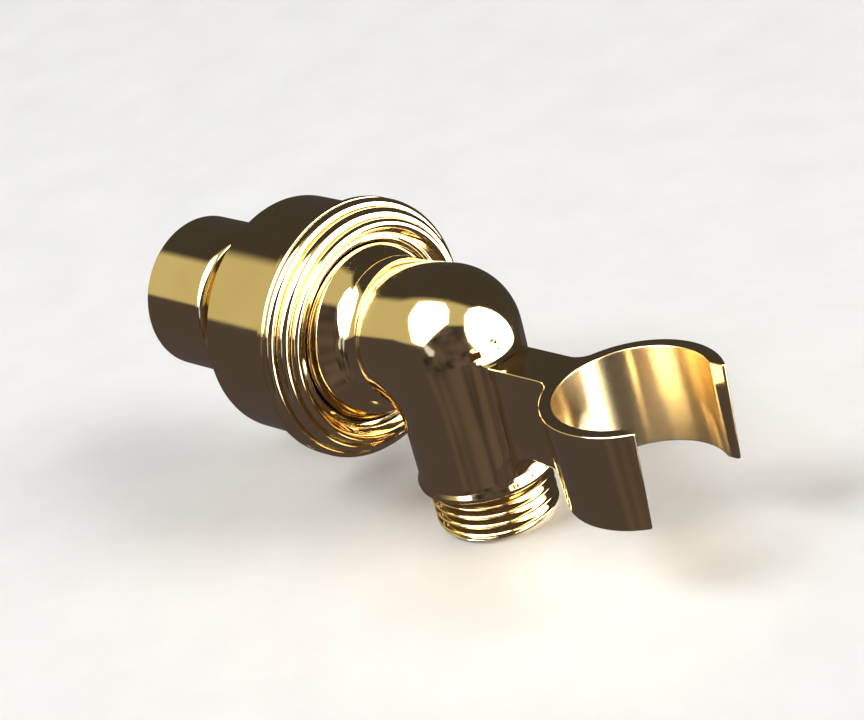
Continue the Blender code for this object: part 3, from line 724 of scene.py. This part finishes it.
def cradle_outline(z):
    """Half of the outline at a height, from the bore's back, round the tip and along the outside to the web's
    root. X is measured from the cradle's axis. It also gives the number of points that belong to the bore."""
    share = (CRADLE_TOP - z) / (CRADLE_TOP - CRADLE_FOOT)
    outer = CRADLE_R + (CRADLE_FOOT_R - CRADLE_R) * share
    bore = BORE_R + (BORE_FOOT_R - BORE_R) * share
    corner_y = SLOT_HALF + TIP_ROUND
    bore_turn = math.degrees(math.asin(corner_y / (bore + TIP_ROUND)))
    outer_turn = math.degrees(math.asin(corner_y / (outer - TIP_ROUND)))
    inside = arc_points(0, 0, bore, 180, bore_turn, 90, hollow=True)
    bore_corner = math.cos(math.radians(bore_turn)) * (bore + TIP_ROUND)
    outer_corner = math.cos(math.radians(outer_turn)) * (outer - TIP_ROUND)
    corner_in = arc_points(bore_corner, corner_y, TIP_ROUND, bore_turn - 180, -90, CORNER_POINTS)
    tip = straight(bore_corner, SLOT_HALF, outer_corner, SLOT_HALF, TIP_POINTS, 0, -1)
    corner_out = arc_points(outer_corner, corner_y, TIP_ROUND, -90, outer_turn, CORNER_POINTS)
    side = WEB_HALF + WEB_FILLET
    fillet_x = -math.sqrt((outer + WEB_FILLET) ** 2 - side**2)
    meet = math.degrees(math.atan2(side, fillet_x))
    outside = arc_points(0, 0, outer, outer_turn, meet, 90)
    fillet = arc_points(fillet_x, side, WEB_FILLET, meet - 180, -90, 22, hollow=True)
    foot_r, foot_x = foot_shape(z - RIM_Z)
    root_x = float(foot_x) - CRADLE_X
    root_side = WEB_HALF + ROOT_FILLET
    root_centre = root_x + math.sqrt((float(foot_r) + ROOT_FILLET) ** 2 - root_side**2)
    web = straight(fillet_x, WEB_HALF, root_centre, WEB_HALF, 24, 0, 1)
    leave = math.degrees(math.atan2(-root_side, root_x - root_centre))
    root = arc_points(root_centre, root_side, ROOT_FILLET, -90, leave, 8, hollow=True)
    last_x, last_y = root[-1][:2]
    end = straight(last_x, last_y, root_x + ROOT_DEPTH, last_y, 3, 0, 1)
    rows = np.concatenate([inside, corner_in, tip, corner_out, outside, fillet, web, root, end])
    return rows, len(inside)


def web_underside(x):
    """The lower edge's height at an x from the cradle's axis: flat under the ring, sloped and then hollow
    under the web."""
    peak_x, peak_z = OUTLET.x + WEB_PEAK[0] - CRADLE_X, RIM_Z + WEB_PEAK[1]
    toe_x, toe_z = OUTLET.x + WEB_TOE[0] - CRADLE_X, RIM_Z + WEB_TOE[1]
    slope = CRADLE_FOOT + (peak_z - CRADLE_FOOT) * (RING_EDGE_X - x) / (RING_EDGE_X - peak_x)
    part = np.clip(1 - ((peak_x - x) / (peak_x - toe_x)) ** 2, 0, 1)
    hollow = toe_z + (peak_z - toe_z) * np.sqrt(part)
    return np.where(x > RING_EDGE_X, CRADLE_FOOT, np.where(x > peak_x, slope, hollow))


def cradle_levels():
    """Levels from the top to the underside: (inset, share of the height, shift, outward and upward parts of
    the normal). The first and last few round the edges."""
    top, foot = [], []
    for turn in np.radians(np.linspace(90, 0, 6)):
        cos, sin = math.cos(turn), math.sin(turn)
        inset, shift = EDGE_ROUND * (1 - cos), EDGE_ROUND * (1 - sin)
        top.append((inset, 0, -shift, cos, sin))
        foot.append((inset, 1, shift, cos, -sin))
    return top + [(0, share, 0, 1, 0) for share in np.linspace(0.04, 0.96, 24)] + foot[::-1]


def make_cradle(look):
    """The open ring and its web: loops of points at each level, with a cap on top and strips below."""
    levels = cradle_levels()
    foot_rows, bore_count = cradle_outline(CRADLE_FOOT)
    drop = web_underside(foot_rows[:, 0]) - CRADLE_TOP
    points, normals = [], []
    for inset, share, shift, out, rise in levels:
        x, y, nx, ny = cradle_outline(CRADLE_TOP + (CRADLE_FOOT - CRADLE_TOP) * share)[0].T
        z = CRADLE_TOP + drop * share + shift
        for mirror, order in ((1, slice(None)), (-1, slice(None, None, -1))):
            spread = np.stack([x - nx * inset, mirror * (y - ny * inset), z], 1)
            facing = np.stack([nx * out, mirror * ny * out, np.full(len(x), rise)], 1)
            points.append(spread[order])
            normals.append(facing[order])
    half = len(foot_rows)
    loop = 2 * half
    faces = []
    for i in range(len(levels) - 1):
        for k in range(loop):
            m = (k + 1) % loop
            faces.append(((i + 1) * loop + k, (i + 1) * loop + m, i * loop + m, i * loop + k))
    faces.append(tuple(range(loop)))
    base = (len(levels) - 1) * loop
    foot_x = points[-2][:, 0]
    ring_end = bore_count + 2 * CORNER_POINTS + TIP_POINTS - 1
    while foot_x[ring_end] > RING_EDGE_X:
        ring_end += 1
    under_ring = [base + k for k in range(ring_end + 1)]
    across = [base + loop - 1 - k for k in range(ring_end, -1, -1)]
    faces.append(tuple(reversed(under_ring + across)))
    for k in range(ring_end, half - 1):
        faces.append((base + loop - 1 - k, base + loop - 2 - k, base + k + 1, base + k))
    place = Vector((CRADLE_X, 0, 0))
    points, normals = np.concatenate(points), np.concatenate(normals)
    new_piece("cradle_body", points, faces, normals, place, UP, "elbow", look, "cradle")


# ---------------------------------------------------------------- studio

CAMERA_AZIMUTH, CAMERA_RISE, CAMERA_ROLL = 51.71, 26.60, 15.73
CAMERA_REACH = 498.9
CAMERA_AIM = Vector((-0.2, 0.5, 0.9))


def camera_turn():
    """The direction from the object to the camera, and the camera's rotation."""
    a, e = math.radians(CAMERA_AZIMUTH), math.radians(CAMERA_RISE)
    back = Vector((math.sin(a) * math.cos(e), -math.cos(a) * math.cos(e), math.sin(e)))
    level = (-back).to_track_quat("-Z", "Y")
    return back, level @ Quaternion((0, 0, 1), math.radians(-CAMERA_ROLL))


def make_camera():
    back, turn = camera_turn()
    camera = bpy.data.objects.new("camera", bpy.data.cameras.new("camera"))
    camera.data.lens = 125
    camera.data.sensor_width = 36
    camera.data.clip_start = 0.01
    camera.rotation_mode = "QUATERNION"
    camera.rotation_quaternion = turn
    camera.location = (CAMERA_AIM + back * CAMERA_REACH) * MM
    bpy.context.scene.collection.objects.link(camera)
    bpy.context.scene.camera = camera


def make_floor():
    """A pale paper floor just under the object, which the polished brass doesn't mirror."""
    mesh = bpy.data.meshes.new("floor")
    shape = bmesh.new()
    bmesh.ops.create_grid(shape, x_segments=4, y_segments=4, size=6)
    shape.to_mesh(mesh)
    shape.free()
    look = Look("floor_paper")
    fibre = look.noise(60, 4)
    look.set(Base_Color=look.colours(fibre, (0.3, (0.74, 0.735, 0.725)), (0.7, (0.78, 0.775, 0.765))))
    look.set(Roughness=0.85)
    look.bump((look.noise(900, 3), 0.15, 0.05))
    mesh.materials.append(look.material)
    floor = bpy.data.objects.new("floor", mesh)
    bpy.context.scene.collection.objects.link(floor)
    floor.location.z = CAD_BOX[0].z - 0.0002
    floor.visible_glossy = False


def soft_light(name, place, size, power):
    """A large soft lamp for the floor and the plain materials; the polished brass doesn't mirror it."""
    lamp = bpy.data.lights.new(name, "AREA")
    lamp.shape = "DISK"
    lamp.size = size
    lamp.energy = power
    made = bpy.data.objects.new(name, lamp)
    bpy.context.scene.collection.objects.link(made)
    made.location = place
    made.rotation_mode = "QUATERNION"
    made.rotation_quaternion = Vector(place).to_track_quat("Z", "Y")
    made.visible_glossy = False


# What the polished brass mirrors. Corners are directions from the object, in degrees to the right of the
# camera and above it. The wall lies between two circles, each given by three directions.
LEFT_SOFTBOX = [(-72, 25), (-68, 45), (-40, 52), (-10, 50), (-2, 40), (-2, 20), (-42, -15), (-60, -8)]
RIGHT_SOFTBOX = [(24, 8), (26, 30), (38, 40), (60, 40), (118, 0), (62, -28), (47, -22), (30, -8)]
DARK_FIGURE = [(-8, 15), (25, 15), (36, -20), (45, -58), (-62, -58), (-42, -14)]
PALE_GLINT = [(-42, -17), (-36, -14), (-25, -24), (-28, -31), (-36, -30)]
WALL_TOP = [(-100, 40), (-15, 56), (120, 0)]
WALL_FOOT = [(-100, -3), (-60, -12), (100, -6)]


class Room(NodeKit):
    """Surroundings painted on the sky: patches whose corners are directions, one over another."""

    def __init__(self, tree):
        super().__init__(tree, "Generated")
        self.turn = camera_turn()[1]

    def direction(self, corner):
        across, up = map(math.radians, corner)
        level = math.cos(up)
        return self.turn @ Vector((math.sin(across) * level, math.sin(up), math.cos(across) * level))

    def beyond(self, normal, distance):
        """How far a direction lies beyond a plane with this normal."""
        dot = self.nodes.new("ShaderNodeVectorMath")
        dot.operation = "DOT_PRODUCT"
        self.links.new(self.place, dot.inputs[0])
        dot.inputs[1].default_value = normal
        return self.math("SUBTRACT", dot.outputs["Value"], distance)

    def beyond_circle(self, corners):
        """Positive above the circle through three directions."""
        a, b, c = map(self.direction, corners)
        normal = (b - a).cross(c - a).normalized()
        if normal.dot(self.direction((0, 90))) < 0:
            normal = -normal
        return self.beyond(normal, normal.dot(a))

    def inside(self, corners):
        """Positive inside a convex patch: the least distance from its edges."""
        corners = [self.direction(corner) for corner in corners]
        middle = sum(corners, Vector())
        least = None
        for a, b in zip(corners, corners[1:] + corners[:1]):
            normal = a.cross(b).normalized()
            if normal.dot(middle) < 0:
                normal = -normal
            reach = self.beyond(normal, 0.0)
            least = self.math("MINIMUM", least, reach) if least else reach
        return least

    def step(self, value, soft):
        """0 to 1 as the value passes 0, over a soft edge."""
        node = self.nodes.new("ShaderNodeMapRange")
        node.interpolation_type = "SMOOTHSTEP"
        self.links.new(value, node.inputs["Value"])
        node.inputs["From Min"].default_value = -soft
        node.inputs["From Max"].default_value = soft
        return node.outputs[0]

    def paint(self, under, amount, over):
        """Lays one colour over another by an amount from 0 to 1."""
        node = self.nodes.new("ShaderNodeMix")
        node.data_type = "RGBA"
        self.feed(node.inputs["Factor"], amount)
        for socket, colour in ((node.inputs[6], under), (node.inputs[7], over)):
            self.feed(socket, (*colour, 1) if isinstance(colour, tuple) else colour)
        return node.outputs[2]


def make_world():
    """Two softboxes, a lit wall, a dark figure, a dark ceiling and a dark table for the brass to mirror. The
    camera and the matt surfaces see an even grey."""
    world = bpy.data.worlds.new("room")
    world.use_nodes = True
    world.node_tree.nodes.clear()
    room = Room(world.node_tree)
    above = room.beyond(room.direction((0, 90)), 0.12)
    view = room.paint((0.086, 0.071, 0.078), room.step(above, 0.06), (0.060, 0.054, 0.05))
    below_top = room.step(room.math("MULTIPLY", room.beyond_circle(WALL_TOP), -1.0), 0.07)
    above_foot = room.step(room.beyond_circle(WALL_FOOT), 0.03)
    view = room.paint(view, room.math("MULTIPLY", below_top, above_foot), (0.66, 0.61, 0.355))
    folds = room.step(room.math("SUBTRACT", room.noise(3.0, 1, 0.5), 0.5), 0.2)
    figure = room.paint((0.03, 0.026, 0.03), folds, (0.13, 0.105, 0.10))
    view = room.paint(view, room.step(room.inside(DARK_FIGURE), 0.05), figure)
    view = room.paint(view, room.step(room.inside(PALE_GLINT), 0.03), (0.85, 0.95, 1.2))
    for corners in (LEFT_SOFTBOX, RIGHT_SOFTBOX):
        view = room.paint(view, room.step(room.inside(corners), 0.012), (9.0, 8.9, 8.7))
    path = room.nodes.new("ShaderNodeLightPath")
    shown = room.paint((0.62, 0.615, 0.60), path.outputs["Is Diffuse Ray"], (0.24, 0.239, 0.235))
    shown = room.paint(shown, path.outputs["Is Glossy Ray"], view)
    background = room.nodes.new("ShaderNodeBackground")
    room.links.new(shown, background.inputs["Color"])
    room.links.new(background.outputs[0], room.nodes.new("ShaderNodeOutputWorld").inputs["Surface"])
    world.cycles.sampling_method = "NONE"  # so that each kind of ray sees only its own surroundings
    bpy.context.scene.world = world


# ---------------------------------------------------------------- assembly

turned_brass = brass("brass_turned", ripple=0.004, marks=0.00012)
cast_brass = brass("brass_cast", ripple=0.014)
cradle_brass = brass("brass_cradle", ripple=0.004, marks=0.00012, bored=BORE_R + 0.1)

make_collar(turned_brass)
make_socket(turned_brass)
make_ring(turned_brass)
make_ball(turned_brass)
make_nipple(turned_brass)
make_elbow(cast_brass)
make_elbow_lip(turned_brass)
make_elbow_rim(cast_brass)
make_cradle(cradle_brass)

ACETAL = ((0.78, 0.77, 0.73), (0.86, 0.85, 0.82))
VALVE_BLUE = ((0.05, 0.13, 0.40), (0.08, 0.18, 0.50))
INNER_LOOKS = {
    "inlet_washer": rubber("rubber_washer"),
    "regulator_ring": rubber("rubber_regulator"),
    "collar_seal": rubber("rubber_collar_seal"),
    "stem_seal": rubber("rubber_stem_seal"),
    "nipple_seal": rubber("rubber_nipple_seal"),
    "check_valve_seal": rubber("rubber_valve_seal"),
    "poppet_seal": rubber("rubber_poppet_seal"),
    "strainer_screen": steel("steel_screen"),
    "seat_spring": steel("steel_wave"),
    "stem_clip": steel("steel_clip"),
    "check_valve_spring": steel("steel_coil"),
    "flow_regulator": plastic("acetal_regulator", *ACETAL),
    "rear_seat": plastic("acetal_rear_seat", *ACETAL),
    "front_seat": plastic("acetal_front_seat", *ACETAL),
    "check_valve_poppet": plastic("acetal_poppet", *ACETAL),
    "check_valve_housing": plastic("valve_blue", *VALVE_BLUE),
}
for node, look in INNER_LOOKS.items():
    for slot in frame["nodes"][node].material_slots:
        slot.material = look

make_camera()
make_floor()
make_world()
soft_light("lamp_left", (-0.5, -0.9, 1.3), 0.9, 21)
soft_light("lamp_right", (1.0, 0.5, 1.1), 0.9, 14)
bpy.context.scene.view_settings.view_transform = "Standard"
